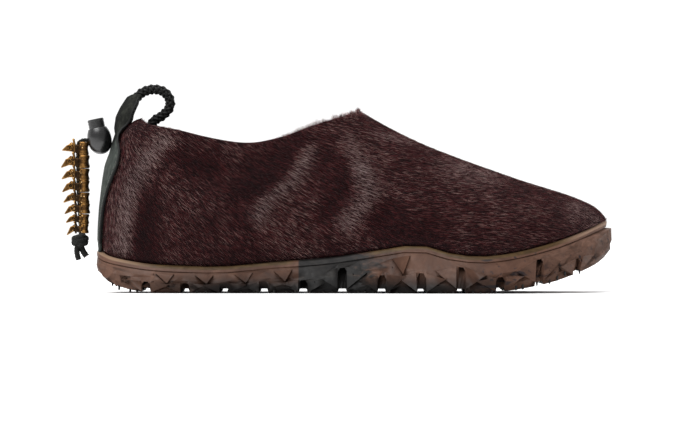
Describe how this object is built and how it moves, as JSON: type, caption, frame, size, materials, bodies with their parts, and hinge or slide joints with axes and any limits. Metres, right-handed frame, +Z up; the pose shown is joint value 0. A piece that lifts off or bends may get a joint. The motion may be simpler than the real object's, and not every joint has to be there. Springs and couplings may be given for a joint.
{
  "type": "slip-on hair moccasin shoe",
  "caption": "Low slip-on shoe: combed hair-on leather upper, faceted rubber cup sole with cross gaps, heel tab with rope pull loop, cord lock and a hanging metal backbone charm.",
  "frame": {"origin": "middle of the shoe's footprint on the floor: the middle of the box of the shoe without its cord and charm", "axes": "+X to the toe, +Y to the inner side of a right shoe, +Z up"},
  "size_m": [0.3166, 0.1084, 0.1198],
  "materials": {
    "gum": "marbled gum rubber, semi-gloss",
    "hair": "short combed burgundy hair on leather",
    "lining": "dark woven lining",
    "leather": "grained grey-black leather",
    "rope": "black braided cord",
    "plastic": "charcoal satin plastic",
    "brass": "antique brass"
  },
  "bodies": {
    "shoe": {"outsole": "gum", "upper": "hair", "insole": "lining", "heel_tab": "leather", "pull_loop": "rope", "toggle_body": "plastic", "drawcord": "rope", "vertebra_1": "brass", "vertebra_2": "brass", "vertebra_3": "brass", "vertebra_4": "brass", "vertebra_5": "brass", "vertebra_6": "brass", "vertebra_7": "brass", "vertebra_8": "brass", "cord_knot": "rope", "cord_tail_1": "rope", "cord_tail_2": "rope"},
    "button": {"toggle_button": "plastic"}
  },
  "joints": [
    {"name": "button_press", "type": "slide", "parent": "shoe", "child": "button", "axis": [-0.2079, 0, 0.9781], "range_m": [-0.0024, 0], "stiffness_N_per_m": 1500, "springref_m": 0.002}
  ]
}
